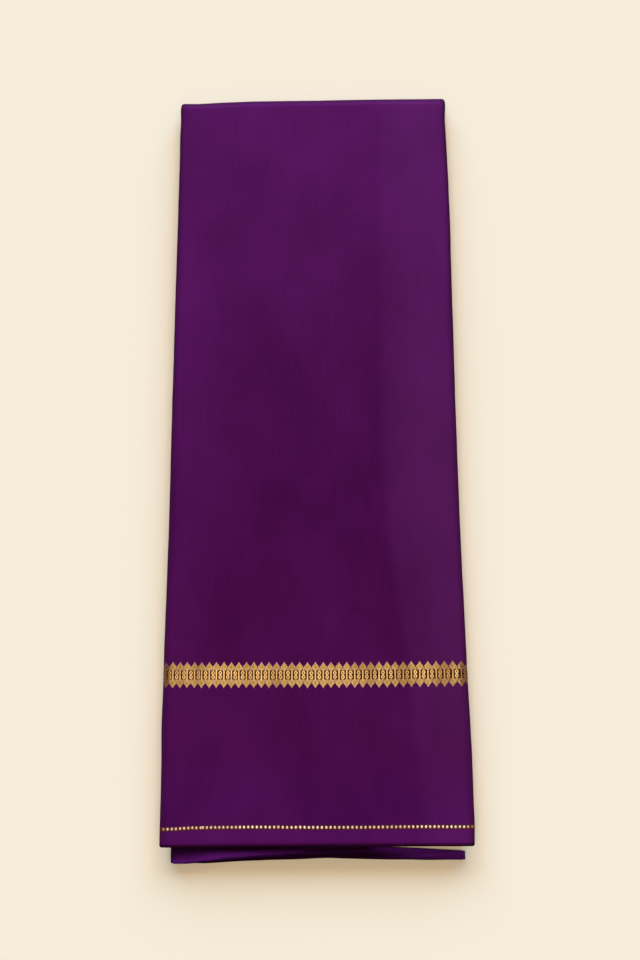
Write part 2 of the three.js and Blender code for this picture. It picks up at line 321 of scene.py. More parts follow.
def hem_shift(x, y):
    return (np.interp(x, HEM_X, HEM_Y) - FRONT_HEM) * (1 - smooth(y, FRONT_HEM, -200))


def hem_nose(x, y):
    """The last few millimetres of the outer ply bend down over the plies below."""
    length = np.interp(x, HEM_X, NOSE_LENGTH)
    return -NOSE_DROP * np.clip(1 - (y - FRONT_HEM) / length, 0, 1) ** 2


def settle(x, y, turn, height):
    """Moves a point of the square, flat pile to where the cloth really lies."""
    level = height * np.cos(turn)
    upper = smooth(level, 0, 3)
    real_y = y + height * np.sin(turn)
    by_left = 1 - smooth(x, -110, 40)
    lift = (face_rise(x, real_y) + hem_swell(real_y)) * upper
    real_y = real_y - FAR_EDGE_TILT * by_left * smooth(real_y, 150, FAR_END)
    real_y = real_y + np.interp(x, FAR_X, FAR_OUT) * smooth(real_y, 255, FAR_END)
    real_y = real_y + hem_shift(x, y) * upper * (turn < 0.1)
    return np.stack(np.broadcast_arrays(x, real_y, HALF + level + lift), axis=-1)


def cloth(across, y, turn=0.0):
    """Points of the outer ply."""
    x, height = section(across, y, turn)
    points = settle(x, y, turn, height)
    if np.ndim(turn) == 0 and turn == 0:
        points[..., 2] += hem_nose(x, y) * smooth(height, 3, 7)
    return points


def on_cloth(across, y, lift):
    """Points that lie on the upper face at the seen place y, lifted along the cloth's normal."""
    flat_y = y - hem_shift(across, y)
    step = 0.05
    ahead = cloth(across, flat_y + step) - cloth(across, flat_y - step)
    beside = cloth(across + step, flat_y) - cloth(across - step, flat_y)
    normal = np.cross(beside, ahead)
    normal /= np.linalg.norm(normal, axis=-1, keepdims=True)
    return cloth(across, flat_y) + normal * np.asarray(lift)[..., None]


# ------------------------------------------------------------------ making pieces
def smooth_faces(mesh):
    """Shades a mesh smooth, but for its sharp edges."""
    mesh.polygons.foreach_set("use_smooth", [True] * len(mesh.polygons))
    mesh.set_sharp_from_angle(angle=SHARP_ANGLE)


def new_piece(name, points, faces, material, uv=None):
    """A mesh piece from points in millimetres; uv is one pair of metres for each point."""
    mesh = bpy.data.meshes.new(name)
    mesh.from_pydata((np.asarray(points) * MM).tolist(), [], faces)
    if uv is not None:
        give_uv(mesh, uv)
    mesh.materials.append(material)
    piece = bpy.data.objects.new(name, mesh)
    bpy.context.scene.collection.objects.link(piece)
    smooth_faces(mesh)
    return piece


def keep_modified(piece):
    """Replaces a piece's mesh by what its modifiers make of it, and takes them off."""
    seen = piece.evaluated_get(bpy.context.evaluated_depsgraph_get())
    made = bpy.data.meshes.new_from_object(seen)
    piece.modifiers.clear()
    piece.data = made
    made.name = piece.name
    smooth_faces(made)
    return piece


def grid_faces(rows, columns):
    """Faces between rows of points that all have the same number of columns."""
    faces = []
    for row in range(rows - 1):
        for column in range(columns - 1):
            a = row * columns + column
            faces.append((a, a + 1, a + columns + 1, a + columns))
    return faces


def tube_faces(rings, count, end=True):
    """Faces round rings of equal count, with both ends closed, or only the first."""
    faces = []
    for ring in range(rings - 1):
        for i in range(count):
            a, b = ring * count + i, ring * count + (i + 1) % count
            faces.append((a, b, b + count, a + count))
    faces.append(tuple(range(count))[::-1])
    if end:
        faces.append(tuple((rings - 1) * count + i for i in range(count)))
    return faces


def mesh_points(mesh):
    points = np.empty(len(mesh.vertices) * 3)
    mesh.vertices.foreach_get("co", points)
    return points.reshape(-1, 3)


def set_points(mesh, points):
    mesh.vertices.foreach_set("co", (np.asarray(points) * MM).ravel())
    mesh.update()


def give_uv(mesh, uv, name="cloth"):
    layer = mesh.uv_layers.get(name) or mesh.uv_layers.new(name=name)
    corner = np.empty(len(mesh.loops), dtype=np.int32)
    mesh.loops.foreach_get("vertex_index", corner)
    layer.data.foreach_set("uv", np.asarray(uv, dtype=np.float32)[corner].ravel())


def give_shade(mesh, past, dark=0.0):
    """A second map, for painted shade: how far round an edge each point lies, and how deeply a
    crevice is painted dark.
    """
    shade = np.broadcast_arrays(np.ravel(past) * MM, np.ravel(dark))
    give_uv(mesh, np.stack(shade, axis=-1), "turned")


# ------------------------------------------------------------------ shader helpers and groups
def link(tree, source, target):
    tree.links.new(source, target)


def maths(tree, kind, first, second=None, clamp=False):
    """A Math node; its two values are sockets or numbers."""
    node = tree.nodes.new("ShaderNodeMath")
    node.operation = kind
    node.use_clamp = clamp
    for socket, value in zip(node.inputs, (first, second)):
        if value is None:
            continue
        if isinstance(value, bpy.types.NodeSocket):
            link(tree, value, socket)
        else:
            socket.default_value = value
    return node.outputs[0]


def product(tree, first, second):
    return maths(tree, "MULTIPLY", first, second)


def noise(tree, vector, scale, detail=2.0, rough=0.5):
    node = tree.nodes.new("ShaderNodeTexNoise")
    node.inputs["Scale"].default_value = scale
    node.inputs["Detail"].default_value = detail
    node.inputs["Roughness"].default_value = rough
    link(tree, vector, node.inputs["Vector"])
    return node.outputs[0]


def stretched(tree, vector, x, y):
    node = tree.nodes.new("ShaderNodeMapping")
    node.inputs["Scale"].default_value = (x, y, 1)
    link(tree, vector, node.inputs["Vector"])
    return node.outputs[0]


def new_group(name, inputs, outputs):
    """A shader group with named inputs and outputs; gives the tree and its two end nodes."""
    tree = bpy.data.node_groups.new(name, "ShaderNodeTree")
    for label, value in inputs.items():
        kind = "NodeSocketVector" if value is None else "NodeSocketFloat"
        socket = tree.interface.new_socket(label, in_out="INPUT", socket_type=kind)
        if value is not None:
            socket.default_value = value
    for label in outputs:
        tree.interface.new_socket(label, in_out="OUTPUT", socket_type="NodeSocketFloat")
    return tree, tree.nodes.new("NodeGroupInput"), tree.nodes.new("NodeGroupOutput")


def silk_weave_group():
    """Plain weave with uneven threads: Height for a bump, Streak and Mottle for the colour."""
    tree, given, made = new_group(
        "silk_weave",
        {"Place": None, "Threads": 4200.0, "Slub": 0.5},
        ("Height", "Streak", "Mottle"),
    )
    place = given.outputs["Place"]
    split = tree.nodes.new("ShaderNodeSeparateXYZ")
    link(tree, place, split.inputs[0])
    turns = product(tree, given.outputs["Threads"], math.pi)
    over = maths(tree, "SINE", product(tree, split.outputs[0], turns))
    under = maths(tree, "SINE", product(tree, split.outputs[1], turns))
    weave = product(tree, over, under)
    weft = noise(tree, stretched(tree, place, 2600, 30), 1.0, 2.0)
    warp = noise(tree, stretched(tree, place, 22, 1900), 1.0, 2.0)
    slubs = maths(tree, "ADD", product(tree, weft, 0.62), product(tree, warp, 0.38))
    raised = product(tree, slubs, given.outputs["Slub"])
    height = maths(tree, "ADD", product(tree, weave, 0.5), raised)
    link(tree, height, made.inputs["Height"])
    link(tree, slubs, made.inputs["Streak"])
    link(tree, noise(tree, stretched(tree, place, 16, 9), 1.0, 3.0, 0.55), made.inputs["Mottle"])
    return tree


def metal_thread_group():
    """Gold-wrapped threads side by side, each with its own shade."""
    tree, given, made = new_group(
        "metal_thread",
        {"Place": None, "Threads": 3000.0},
        ("Height", "Shade", "Grain"),
    )
    place = given.outputs["Place"]
    split = tree.nodes.new("ShaderNodeSeparateXYZ")
    link(tree, place, split.inputs[0])
    turns = product(tree, given.outputs["Threads"], 2 * math.pi)
    ridge = maths(tree, "SINE", product(tree, split.outputs[0], turns))
    wrap = noise(tree, stretched(tree, place, 3000, 5200), 1.0, 1.0)
    link(tree, maths(tree, "ADD", product(tree, ridge, 0.5), wrap), made.inputs["Height"])
    link(tree, noise(tree, stretched(tree, place, 900, 260), 1.0, 2.0), made.inputs["Shade"])
    link(tree, wrap, made.inputs["Grain"])
    return tree


SILK_WEAVE = silk_weave_group()
METAL_THREAD = metal_thread_group()


def new_material(name):
    material = bpy.data.materials.new(name)
    material.use_nodes = True
    tree = material.node_tree
    return material, tree, tree.nodes["Principled BSDF"]


def place_group(tree, group, **values):
    node = tree.nodes.new("ShaderNodeGroup")
    node.node_tree = group
    for label, value in values.items():
        node.inputs[label].default_value = value
    uv = tree.nodes.new("ShaderNodeUVMap")
    uv.uv_map = "cloth"
    link(tree, uv.outputs[0], node.inputs["Place"])
    return node, uv.outputs[0]


def turned(tree):
    """From the second map of painted shade: how far round an edge, and how deeply a crevice is
    painted dark.
    """
    uv = tree.nodes.new("ShaderNodeUVMap")
    uv.uv_map = "turned"
    split = tree.nodes.new("ShaderNodeSeparateXYZ")
    link(tree, uv.outputs[0], split.inputs[0])
    return split.outputs[0], split.outputs[1]


def mixed(tree, factor, first, second):
    """A colour between two, by a factor that changes over the surface."""
    node = tree.nodes.new("ShaderNodeMix")
    node.data_type = "RGBA"
    link(tree, factor, node.inputs[0])
    for socket, value in ((node.inputs[6], first), (node.inputs[7], second)):
        if isinstance(value, bpy.types.NodeSocket):
            link(tree, value, socket)
        else:
            socket.default_value = (*value, 1)
    return node.outputs[2]


def span(tree, value, low, high, to_low=0.0, to_high=1.0):
    node = tree.nodes.new("ShaderNodeMapRange")
    node.interpolation_type = "SMOOTHSTEP"
    for socket, number in zip(list(node.inputs)[1:5], (low, high, to_low, to_high)):
        socket.default_value = number
    link(tree, value, node.inputs[0])
    return node.outputs[0]


def bump(tree, height, distance, strength, shader):
    node = tree.nodes.new("ShaderNodeBump")
    node.inputs["Distance"].default_value = distance
    node.inputs["Strength"].default_value = strength
    link(tree, height, node.inputs["Height"])
    link(tree, node.outputs[0], shader.inputs["Normal"])


def face_tone(tree, uv, tone):
    """Painted sheen: the face is lighter in its right third, along the left and towards the fold;
    it is also lighter at the hem.

    Gives the lifted tone, and how far a place lies in the right third and near the hem. Places are
    in metres: across from the middle, and along from the front hem.
    """
    split = tree.nodes.new("ShaderNodeSeparateXYZ")
    link(tree, uv, split.inputs[0])
    across, away = split.outputs[0], split.outputs[1]

    left = product(tree, span(tree, across, -0.060, -0.104, 0.0, 0.15),
                   product(tree, span(tree, away, 0.05, 0.15), span(tree, away, 0.54, 0.36)))
    slanted = maths(tree, "ADD", across, span(tree, away, 0.03, 0.30, 0.0, 0.024))
    edge_and_slope = maths(tree, "ADD", span(tree, slanted, 0.068, 0.078),
                           span(tree, slanted, 0.066, 0.106))
    strength = product(tree, span(tree, away, 0.02, 0.12, 0.40, 1.05),
                       span(tree, away, 0.30, 0.40, 1.0, 0.62))
    third = product(tree, product(tree, 0.5, edge_and_slope), strength)
    by_fold = span(tree, away, 0.26, 0.58, 0.0, 0.32)
    under_dots = span(tree, away, 0.0135, 0.0105, 0.0, 0.21)
    for lift in (left, product(tree, third, 0.10), by_fold, under_dots):
        tone = maths(tree, "ADD", tone, lift)
    return tone, third, span(tree, away, 0.07, 0.03)


def silk(name, deep, light, edge, rough, painted_sheen=False):
    """Dyed silk: deep in the shade of its threads, lighter where the threads lie smooth."""
    material, tree, shader = new_material(name)
    weave, uv = place_group(tree, SILK_WEAVE, Slub=0.6)
    tone = maths(tree, "ADD", product(tree, weave.outputs["Streak"], 0.5),
                 product(tree, weave.outputs["Mottle"], 0.5))
    if painted_sheen:
        # Painted sheen on the face: its right third, left side and far end are lighter.
        tone, third, hem = face_tone(tree, uv, span(tree, tone, 0.34, 0.66, 0.0, 0.36))
        colour = mixed(tree, tone, deep, light)
        colour = mixed(tree, product(tree, third, 0.05), colour, SILK_PAINTED_SHEEN)
        colour = mixed(tree, product(tree, hem, 0.018), colour, SILK_BLUE)
    else:
        colour = mixed(tree, span(tree, tone, 0.34, 0.66, 0.1, 0.9), deep, light)
    # Painted shade: the colour deepens towards a turned edge and goes dark in crevices.
    round_edge, crevice = turned(tree)
    colour = mixed(tree, span(tree, round_edge, *EDGE_SPAN), colour, edge)
    colour = mixed(tree, crevice, colour, SILK_PAINTED_SHADE)
    link(tree, colour, shader.inputs["Base Color"])
    link(tree, span(tree, weave.outputs["Streak"], 0.3, 0.7, rough - 0.05, rough + 0.05),
         shader.inputs["Roughness"])
    # Where shade is painted, the metallic sheen and the reflection fade as well.
    flat = maths(tree, "SUBTRACT", maths(tree, "SUBTRACT", 1.0, span(tree, round_edge, *EDGE_SPAN)),
                 crevice, clamp=True)
    link(tree, product(tree, flat, 0.35), shader.inputs["Metallic"])
    link(tree, product(tree, flat, 0.12), shader.inputs["Specular IOR Level"])
    shader.inputs["Specular Tint"].default_value = SILK_SHEEN
    bump(tree, weave.outputs["Height"], 0.00004, 0.22, shader)
    return material


def zari(name, dark, light, metal, rough, dull=None):
    """Gold-wrapped thread, duller at some repeats, with painted shade in brown where the cloth
    turns down.
    """
    material, tree, shader = new_material(name)
    thread, uv = place_group(tree, METAL_THREAD)
    colour = mixed(tree, span(tree, thread.outputs["Shade"], 0.3, 0.7), dark, light)
    if dull:
        worn = noise(tree, stretched(tree, uv, 42, 9), 1.0, 2.0)
        colour = mixed(tree, span(tree, worn, 0.44, 0.60, 0.0, 0.6), colour, dull)
        # Painted shade: the gold goes brown where the cloth turns down at the sides.
        colour = mixed(tree, span(tree, turned(tree)[0], 0.0, 0.0016, 0.0, 0.72), colour,
                       ZARI_SHADE)
        shader.inputs["Specular IOR Level"].default_value = 0.3
    else:
        shader.inputs["Specular IOR Level"].default_value = 0.04
    link(tree, colour, shader.inputs["Base Color"])
    link(tree, span(tree, thread.outputs["Grain"], 0.3, 0.7, rough - 0.08, rough + 0.08),
         shader.inputs["Roughness"])
    shader.inputs["Metallic"].default_value = metal
    bump(tree, thread.outputs["Height"], 0.00005, 0.35, shader)
    return material


EDGE_SPAN = (0.0020, 0.0056)  # metres round a turned edge over which its painted shade deepens
# Colour painted for the shade in crevices
SILK_PAINTED_SHADE = (0.011, 0.0006, 0.011)
# Pinker tint painted as sheen on the face's right third
SILK_PAINTED_SHEEN = (0.25, 0.08, 0.28)
SILK_BLUE = (0.04, 0.02, 0.6)
SILK_SHEEN = (0.60, 0.05, 0.55, 1)
# Brown painted on the gold for shade where the cloth turns down
ZARI_SHADE = (0.19, 0.070, 0.026)

# name, deep and light colour of the threads, colour of the painted shade at a turned edge,
# roughness
SILK_FACE = silk("silk_face", (0.043, 0.0021, 0.044), (0.112, 0.0092, 0.136),
                 (0.054, 0.0048, 0.041), 0.56, painted_sheen=True)
# A lighter copy of the face's silk: painted light on the hidden plies' sides, which the lamps
# hardly reach.
SILK_INNER = silk("silk_inner", (0.066, 0.0040, 0.076), (0.125, 0.0090, 0.145),
                  (0.03, 0.002, 0.03), 0.58)
# A lighter, bluer copy of the face's silk: painted light on the hem plies that lie in the pile's
# shade; their painted shade darkens it again in the slots.
SILK_HEM = silk("silk_hem", (0.066, 0.0060, 0.152), (0.120, 0.0140, 0.285),
                (0.02, 0.001, 0.02), 0.54)

# name, dark and light colour of the threads, share of metal, roughness, colour where it is dull
ZARI_BRIGHT = zari("zari_bright", (0.45, 0.255, 0.112), (0.65, 0.405, 0.195), 0.55, 0.46,
                   (0.25, 0.11, 0.042))
ZARI_CHAIN = zari("zari_chain", (0.70, 0.43, 0.15), (0.98, 0.64, 0.26), 0.55, 0.46,
                  (0.36, 0.17, 0.05))
ZARI_CENTRE = zari("zari_centre", (0.42, 0.26, 0.045), (0.60, 0.41, 0.090), 0.55, 0.5,
                   (0.27, 0.14, 0.030))
ZARI_DOT = zari("zari_dot", (0.86, 0.55, 0.41), (1.0, 0.77, 0.63), 0.4, 0.42,
                (0.62, 0.34, 0.24))
ZARI_LINK = zari("zari_link", (0.18, 0.09, 0.025), (0.32, 0.17, 0.05), 0.45, 0.55,
                 (0.14, 0.06, 0.02))
ZARI_GROUND = zari("zari_ground", (0.026, 0.004, 0.002), (0.070, 0.016, 0.004), 0.0, 0.6)
ZARI_DOT_GROUND = zari("zari_dot_ground", (0.045, 0.004, 0.006), (0.110, 0.024, 0.012), 0.0, 0.6)


# ------------------------------------------------------------------ camera, light and floor
def camera_and_light():
    data = bpy.data.cameras.new("camera")
    data.lens, data.sensor_width = LENS, SENSOR
    data.clip_start, data.clip_end = 0.05, 20
    camera = bpy.data.objects.new("camera", data)
    camera.location = CAMERA_PLACE
    camera.rotation_euler = (math.radians(90 - CAMERA_ELEVATION), 0, 0)
    bpy.context.scene.collection.objects.link(camera)
    bpy.context.scene.camera = camera

    for name, (power, spread, colour, tilt, turn) in SUNS.items():
        sun = bpy.data.lights.new(name, "SUN")
        sun.energy, sun.angle, sun.color = power, spread, colour
        lamp = bpy.data.objects.new(name, sun)
        lamp.rotation_euler = (math.radians(tilt), 0, math.radians(turn))
        bpy.context.scene.collection.objects.link(lamp)

    world = bpy.data.worlds.new("studio")
    world.use_nodes = True
    background = world.node_tree.nodes["Background"]
    background.inputs["Color"].default_value = SKY_COLOUR
    background.inputs["Strength"].default_value = SKY_STRENGTH
    bpy.context.scene.world = world
    bpy.context.scene.view_settings.view_transform = "Standard"


def lay_floor():
    """A plain pale floor."""
    material, tree, shader = new_material("pale_floor")
    place = tree.nodes.new("ShaderNodeTexCoord")
    cloudy = noise(tree, place.outputs["Object"], 2.2, 2.0)
    link(tree, mixed(tree, cloudy, (0.868, 0.800, 0.662), (0.888, 0.822, 0.686)),
         shader.inputs["Base Color"])
    shader.inputs["Roughness"].default_value = 0.9
    shader.inputs["Specular IOR Level"].default_value = 0.1
    points = [(x * FLOOR_REACH, y * FLOOR_REACH, FLOOR_LEVEL)
              for x, y in ((-1, -1), (1, -1), (1, 1), (-1, 1))]
    floor = new_piece("floor", points, [(0, 1, 2, 3)], material)


# ------------------------------------------------------------------ the outer ply
def stations():
    """Cuts along the cloth's path: y on the middle plane, turn, and distance from the front hem."""
    upper_y = [FRONT_HEM + distance for distance in HEM_CUTS]
    upper_y += np.linspace(FRONT_HEM + UPPER_CUTS_FROM, FOLD_AXIS, UPPER_CUTS).tolist()
    rows = [(y, 0.0, y - FRONT_HEM) for y in upper_y]
    straight = FOLD_AXIS - FRONT_HEM
    for step in range(1, FOLD_CUTS + 1):
        turn = math.pi * step / FOLD_CUTS
        rows.append((FOLD_AXIS, turn, straight + HALF * turn))
    for y in np.linspace(FOLD_AXIS, BACK_HEM, LOWER_CUTS + 1)[1:]:
        rows.append((y, math.pi, straight + HALF * math.pi + FOLD_AXIS - y))
    return rows


STATIONS = stations()


def fold_shade(turn):
    """Painted shade round the far end: how far round an edge the cloth counts, and how deeply it is
    painted dark as in a crevice.
    """
    if turn == 0:
        return 0, 0
    out = math.sin(turn)
    crevice = 0.14 * smooth(out, 0.1, 0.45) * (1 - smooth(out, 0.62, 0.84))
    return 2.1 + 2.0 * smooth(out, 0.0, 0.6), crevice


def outer_ply():
    """The ply that shows: the face, both turned sides, the fold and the underside, in one shell."""
    points, uv, shade, dark = [], [], [], []
    for y, turn, distance in STATIONS:
        edge = {side: float(face_edge(side, y, turn)) for side in REACH}
        across = np.concatenate((
            -edge["left"] - PROFILE["left"][0][::-1],
            np.linspace(-edge["left"], edge["right"], FACE_COLUMNS)[1:-1],
            edge["right"] + PROFILE["right"][0],
        ))
        points.append(cloth(across, y, turn))
        uv.append(np.stack((across * MM, np.full(across.shape, distance * MM)), axis=-1))
        # Painted shade: the turned sides and the fold deepen towards their edges, and the hem's
        # bent-down nose and a band of the fold are painted dark.
        bend, on_fold = fold_shade(turn)
        shade.append(np.clip(past_edge(across, y, turn), bend, 6))
        dark.append(np.full(across.shape, 1 - smooth(distance, -0.6, 3.8) + on_fold))
    columns = len(points[0])
    piece = new_piece("outer_ply", np.concatenate(points), grid_faces(len(points), columns),
                      SILK_FACE, np.concatenate(uv))
    give_shade(piece.data, np.concatenate(shade), np.concatenate(dark))
    shell = piece.modifiers.new("thickness", "SOLIDIFY")
    shell.thickness = PLY * MM
    shell.offset = -1
    return keep_modified(piece)


# ------------------------------------------------------------------ the pleats' folds
def loop_inset(side, loop, y, turn):
    """How far one pleat's fold stays inside the widest line, unevenly along the pile."""
    phase = 1.7 * loop + (0.0 if side == "left" else 2.3)
    unevenness = sway(y + 40 * turn, (120 + 13 * loop, phase), (47, 2 * phase))
    return 1.0 + 0.34 * math.sin(3.1 * loop + phase) + 0.22 * unevenness


def pleat_folds():
    """Hidden plies as one closed body whose long sides are rows of folds."""
    top = HALF - DROP_OUT - DROP_BACK - TUCK_DIP - 0.15
    pitch = (top - 0.15) / LOOPS_AT_SIDE
    face_shares = np.linspace(0, 1, CORE_FACE_COLUMNS)
    points, uv = [], []
    rows = [row for row in STATIONS if row[1] > 0 or row[0] > FRONT_HEM + 12]
    rows = [row for row in rows if row[1] < 3 or row[0] > BACK_HEM + 12][::2]
    for y, turn, distance in rows:
        sides = {}
        for side in REACH:
            column = [(TUCK_REACH + 0.6, CORE_TOP), (TUCK_REACH + 0.6, top + 0.05)]
            for loop in range(LOOPS_AT_SIDE):
                base = top - pitch * loop
                inset = loop_inset(side, loop, y, turn)
                column += [(inset + deeper, base - share * pitch) for share, deeper in LOOP_SECTION]
            column.append((3.2, 0.15))
            column = np.array(column)
            column[:, 0] = side_width(side, y, turn) - column[:, 0]
            sides[side] = column
        left = sides["left"] * (-1, 1)
        right = sides["right"][::-1]
        face_x = right[-1, 0] + (left[0, 0] - right[-1, 0]) * face_shares[1:-1]
        face = np.stack((face_x, np.full(face_x.shape, CORE_TOP)), axis=-1)
        ring = np.concatenate((left, right, face))
        points.append(settle(ring[:, 0], y, turn, ring[:, 1]))
        walk = np.concatenate(([0], np.cumsum(np.hypot(*np.diff(ring, axis=0).T))))
        uv.append(np.stack((walk * MM, np.full(walk.shape, distance * MM)), axis=-1))
    faces = tube_faces(len(points), len(points[0]))
    piece = new_piece("pleat_folds", np.concatenate(points), faces, SILK_INNER, np.concatenate(uv))
    give_shade(piece.data, np.zeros(len(piece.data.vertices)))
    return face_outwards(piece)


def face_outwards(piece):
    """Turns a closed piece's faces outwards."""
    shell = bmesh.new()
    shell.from_mesh(piece.data)
    bmesh.ops.recalc_face_normals(shell, faces=shell.faces)
    bmesh.ops.triangulate(shell, faces=[face for face in shell.faces if len(face.verts) > 4])
    shell.to_mesh(piece.data)
    shell.free()
    return piece


# ------------------------------------------------------------------ repeated parts
def repeat_tree(name, material):
    """Sets a shape at steps along a line, with a small seeded sway."""
    tree = bpy.data.node_groups.new(name, "GeometryNodeTree")
    tree.is_modifier = True
    tree.interface.new_socket("Shape", in_out="INPUT", socket_type="NodeSocketGeometry")
    for label, kind in (("Count", "NodeSocketInt"), ("First", "NodeSocketInt"),
                        ("Step", "NodeSocketVector"), ("Growth", "NodeSocketFloat"),
                        ("Sway", "NodeSocketVector"), ("Seed", "NodeSocketInt")):
        tree.interface.new_socket(label, in_out="INPUT", socket_type=kind)
    tree.interface.new_socket("Geometry", in_out="OUTPUT", socket_type="NodeSocketGeometry")
    nodes = tree.nodes
    given, made = nodes.new("NodeGroupInput"), nodes.new("NodeGroupOutput")

    line = nodes.new("GeometryNodeMeshLine")
    link(tree, given.outputs["Count"], line.inputs["Count"])
    line.inputs["Offset"].default_value = (0, 0, 0)

    index = nodes.new("GeometryNodeInputIndex").outputs[0]
    number = maths(tree, "ADD", index, given.outputs["First"])
    grown = product(tree, product(tree, number, number), given.outputs["Growth"])
    stepped = nodes.new("ShaderNodeVectorMath")
    stepped.operation = "SCALE"
    link(tree, given.outputs["Step"], stepped.inputs[0])
    link(tree, number, stepped.inputs["Scale"])
    wider = nodes.new("ShaderNodeCombineXYZ")
    link(tree, grown, wider.inputs[0])

    chance = nodes.new("FunctionNodeRandomValue")
    chance.data_type = "FLOAT_VECTOR"
    chance.inputs[0].default_value = (-1, -1, -1)
    chance.inputs[1].default_value = (1, 1, 1)
    link(tree, given.outputs["Seed"], chance.inputs["Seed"])
    swayed = nodes.new("ShaderNodeVectorMath")
    swayed.operation = "MULTIPLY"
    link(tree, chance.outputs[0], swayed.inputs[0])
    link(tree, given.outputs["Sway"], swayed.inputs[1])

    place = stepped.outputs[0]
    for extra in (wider.outputs[0], swayed.outputs[0]):
        total = nodes.new("ShaderNodeVectorMath")
        total.operation = "ADD"
        link(tree, place, total.inputs[0])
        link(tree, extra, total.inputs[1])
        place = total.outputs[0]

    moved = nodes.new("GeometryNodeSetPosition")
    link(tree, line.outputs[0], moved.inputs["Geometry"])
    link(tree, place, moved.inputs["Position"])
    copies = nodes.new("GeometryNodeInstanceOnPoints")
    link(tree, moved.outputs[0], copies.inputs["Points"])
    link(tree, given.outputs["Shape"], copies.inputs["Instance"])
    real = nodes.new("GeometryNodeRealizeInstances")
    link(tree, copies.outputs[0], real.inputs[0])
    finish = nodes.new("GeometryNodeSetMaterial")
    finish.inputs["Material"].default_value = material
    link(tree, real.outputs[0], finish.inputs["Geometry"])
    link(tree, finish.outputs[0], made.inputs[0])
    return tree


def repeated(name, shape, material, **values):
    """Repeats a shape, given as points and faces; the mesh stays in millimetres till it is laid."""
    piece = new_piece(name, np.asarray(shape[0], dtype=float) / MM, shape[1], material)
    tree = repeat_tree(name + "_rule", material)
    rule = piece.modifiers.new("repeat", "NODES")
    rule.node_group = tree
    for item in tree.interface.items_tree:
        if item.in_out == "INPUT" and item.name in values:
            rule[item.identifier] = values[item.name]
    return keep_modified(piece)


def prism(outline, low, high):
    """A flat closed plate from an outline in the band's chart."""
    count = len(outline)
    points = [(x, v, low) for x, v in outline] + [(x, v, high) for x, v in outline]
    faces = [tuple(range(count))[::-1], tuple(range(count, 2 * count))]
    faces += [(i, (i + 1) % count, (i + 1) % count + count, i + count) for i in range(count)]
    return points, faces


def frame_of(outer, inner, low, high):
    """A flat closed frame between two outlines of equal count."""
    count = len(outer)
    points = [(x, v, z) for z in (low, high) for ring in (outer, inner) for x, v in ring]
    faces = []
    for i in range(count):
        j = (i + 1) % count
        outer_low, inner_low, outer_high, inner_high = 0, count, 2 * count, 3 * count
        faces.append((outer_high + i, outer_high + j, inner_high + j, inner_high + i))
        faces.append((outer_low + i, outer_low + j, outer_high + j, outer_high + i))
        faces.append((inner_low + j, inner_low + i, inner_high + i, inner_high + j))
        faces.append((inner_low + i, inner_low + j, outer_low + j, outer_low + i))
    return points, faces


def joined(*shapes):
    """Several shapes as one."""
    points, faces = [], []
    for more_points, more_faces in shapes:
        start = len(points)
        points += more_points
        faces += [tuple(start + i for i in face) for face in more_faces]
    return points, faces


def flipped(shape):
    """The same shape on the band's other half."""
    points, faces = shape
    return [(x, -v, z) for x, v, z in points], [face[::-1] for face in faces]


def oval(x, v, reach_x, reach_v, count=12):
    turns = [2 * math.pi * i / count for i in range(count)]
    return [(x + reach_x * math.cos(t), v + reach_v * math.sin(t)) for t in turns]


def scaled_about(outline, centre, share):
    middle_x, middle_v = centre
    return [(middle_x + share * (x - middle_x), middle_v + share * (v - middle_v))
            for x, v in outline]


def lay_on_band(piece, line_x, line_y):
    """Lays a flat chart, made round y = 0, along a line of the face."""
    chart = mesh_points(piece.data)
    y = chart[:, 1] + np.interp(chart[:, 0], line_x, line_y)
    give_uv(piece.data, np.stack((chart[:, 0] * MM, y * MM), axis=-1))
    give_shade(piece.data, past_edge(chart[:, 0], y))
    set_points(piece.data, on_cloth(chart[:, 0], y, chart[:, 2]))
    return piece


def shift_chart(piece, shift):
    """Moves the points of a chart across the cloth."""
    chart = mesh_points(piece.data)
    chart[:, 0] += shift(chart[:, 0])
    piece.data.vertices.foreach_set("co", chart.ravel())


def temple_band():
    """Teeth with leaves between them, rings in pairs and bars, mirrored over the band's middle."""
    half_step = BAND_STEP / 2
    tooth = [(0, TOOTH_TIP), (-0.9, 7.9), (-2.72, TOOTH_WIDEST), (-1.45, TOOTH_BASE),
             (1.45, TOOTH_BASE), (2.72, TOOTH_WIDEST), (0.9, 7.9)]
    centre = (0, 5.75)
    rim = frame_of(tooth, scaled_about(tooth, centre, 0.58), WOVEN_LOW, 0.13)
    leaf = prism([(half_step, 5.1), (half_step - 0.82, 3.95), (half_step, 2.75),
                  (half_step + 0.82, 3.95)], WOVEN_LOW, 0.13)
    ring = frame_of(oval(half_step, 1.46, 1.34, 1.46), oval(half_step, 1.46, 0.52, 0.56),
                    WOVEN_LOW, 0.14)
    bar = prism([(-0.48, 3.6), (-0.48, -3.6), (0.48, -3.6), (0.48, 3.6)], WOVEN_LOW, 0.13)
    upper = joined(rim, leaf)
    rule = dict(Count=BAND_COUNT, First=BAND_FIRST, Step=(BAND_STEP, 0, 0), Growth=BAND_GROWTH,
                Sway=(BAND_SWAY, BAND_SWAY, 0.0), Seed=BAND_SEED)
    bright = repeated("zari_band", joined(upper, flipped(upper)), ZARI_BRIGHT, **rule)
    chain = repeated("zari_chain", joined(ring, flipped(ring), bar), ZARI_CHAIN, **rule)
    fill = prism(scaled_about(tooth, centre, 0.66), WOVEN_LOW, 0.07)
    matt = repeated("zari_teeth", joined(fill, flipped(fill)), ZARI_CENTRE, **rule)
    spot = prism([(0, 6.3), (-0.34, 5.75), (0, 5.2), (0.34, 5.75)], 0.0, 0.12)
    spots = repeated("zari_spots", joined(spot, flipped(spot)), ZARI_LINK, **rule)
    for piece in (bright, chain, matt, spots):
        shift_chart(piece, lambda x: BAND_START)
        lay_on_band(piece, BAND_X, BAND_Y)
    return bright, chain, matt, spots


